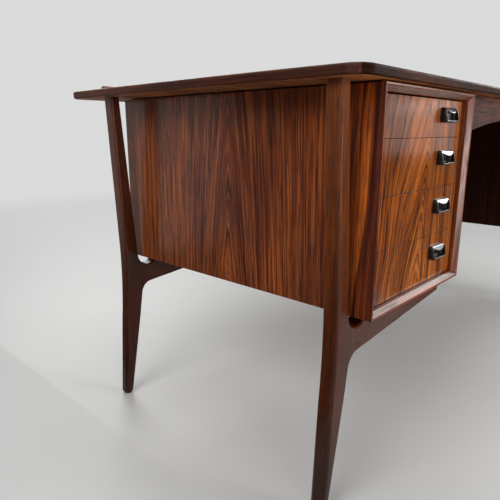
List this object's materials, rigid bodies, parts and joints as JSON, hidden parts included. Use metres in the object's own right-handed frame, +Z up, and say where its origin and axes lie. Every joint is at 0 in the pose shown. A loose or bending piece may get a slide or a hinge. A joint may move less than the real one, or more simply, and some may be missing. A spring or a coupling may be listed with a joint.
{
  "type": "executive desk",
  "caption": "Executive desk on bent wooden legs with hanging drawer pedestals, scooped wooden pulls, an arched kneehole apron and a raised lip along the rear edge.",
  "frame": {"origin": "on the floor, under the middle of the top", "axes": "+X to the right as seen by someone facing the drawers, +Y from the drawer side to the visitor side, +Z up"},
  "size_m": [1.5398, 0.775, 0.748],
  "materials": {
    "top_wood": "satin lacquer",
    "case_wood": "gloss lacquer",
    "front_wood": "gloss lacquer",
    "leg_wood": "satin lacquer",
    "pull_wood": "gloss lacquer",
    "inner_wood": "oiled"
  },
  "bodies": {
    "desk": {"desktop": "top_wood", "rear_gallery": "top_wood", "apron": "leg_wood", "modesty_panel": "case_wood", "left_outer_side": "case_wood", "left_inner_side": "case_wood", "left_top_board": "case_wood", "left_bottom_board": "case_wood", "left_spacer": "inner_wood", "left_partition": "inner_wood", "left_niche_shelf": "case_wood", "left_battens": "inner_wood", "left_front_leg": "leg_wood", "left_rear_leg": "leg_wood", "left_front_arm": "leg_wood", "left_rear_arm": "leg_wood", "right_outer_side": "case_wood", "right_inner_side": "case_wood", "right_top_board": "case_wood", "right_bottom_board": "case_wood", "right_spacer": "inner_wood", "right_partition": "inner_wood", "right_niche_shelf": "case_wood", "right_battens": "inner_wood", "right_front_leg": "leg_wood", "right_rear_leg": "leg_wood", "right_front_arm": "leg_wood", "right_rear_arm": "leg_wood"},
    "left_drawer_1": {"left_drawer_1_front": "front_wood", "left_drawer_1_box": "inner_wood", "left_drawer_1_bottom": "inner_wood", "left_drawer_1_pull": "pull_wood"},
    "left_drawer_2": {"left_drawer_2_front": "front_wood", "left_drawer_2_box": "inner_wood", "left_drawer_2_bottom": "inner_wood", "left_drawer_2_pull": "pull_wood"},
    "left_drawer_3": {"left_drawer_3_front": "front_wood", "left_drawer_3_box": "inner_wood", "left_drawer_3_bottom": "inner_wood", "left_drawer_3_pull": "pull_wood"},
    "left_drawer_4": {"left_drawer_4_front": "front_wood", "left_drawer_4_box": "inner_wood", "left_drawer_4_bottom": "inner_wood", "left_drawer_4_pull": "pull_wood"},
    "right_drawer_1": {"right_drawer_1_front": "front_wood", "right_drawer_1_box": "inner_wood", "right_drawer_1_bottom": "inner_wood", "right_drawer_1_pull": "pull_wood"},
    "right_drawer_2": {"right_drawer_2_front": "front_wood", "right_drawer_2_box": "inner_wood", "right_drawer_2_bottom": "inner_wood", "right_drawer_2_pull": "pull_wood"},
    "right_drawer_3": {"right_drawer_3_front": "front_wood", "right_drawer_3_box": "inner_wood", "right_drawer_3_bottom": "inner_wood", "right_drawer_3_pull": "pull_wood"},
    "right_drawer_4": {"right_drawer_4_front": "front_wood", "right_drawer_4_box": "inner_wood", "right_drawer_4_bottom": "inner_wood", "right_drawer_4_pull": "pull_wood"}
  },
  "joints": [
    {"name": "left_drawer_1_slide", "type": "slide", "parent": "desk", "child": "left_drawer_1", "axis": [0, -1, 0], "range_m": [0, 0.32]},
    {"name": "left_drawer_2_slide", "type": "slide", "parent": "desk", "child": "left_drawer_2", "axis": [0, -1, 0], "range_m": [0, 0.32]},
    {"name": "left_drawer_3_slide", "type": "slide", "parent": "desk", "child": "left_drawer_3", "axis": [0, -1, 0], "range_m": [0, 0.32]},
    {"name": "left_drawer_4_slide", "type": "slide", "parent": "desk", "child": "left_drawer_4", "axis": [0, -1, 0], "range_m": [0, 0.32]},
    {"name": "right_drawer_1_slide", "type": "slide", "parent": "desk", "child": "right_drawer_1", "axis": [0, -1, 0], "range_m": [0, 0.32]},
    {"name": "right_drawer_2_slide", "type": "slide", "parent": "desk", "child": "right_drawer_2", "axis": [0, -1, 0], "range_m": [0, 0.32]},
    {"name": "right_drawer_3_slide", "type": "slide", "parent": "desk", "child": "right_drawer_3", "axis": [0, -1, 0], "range_m": [0, 0.32]},
    {"name": "right_drawer_4_slide", "type": "slide", "parent": "desk", "child": "right_drawer_4", "axis": [0, -1, 0], "range_m": [0, 0.32]}
  ]
}
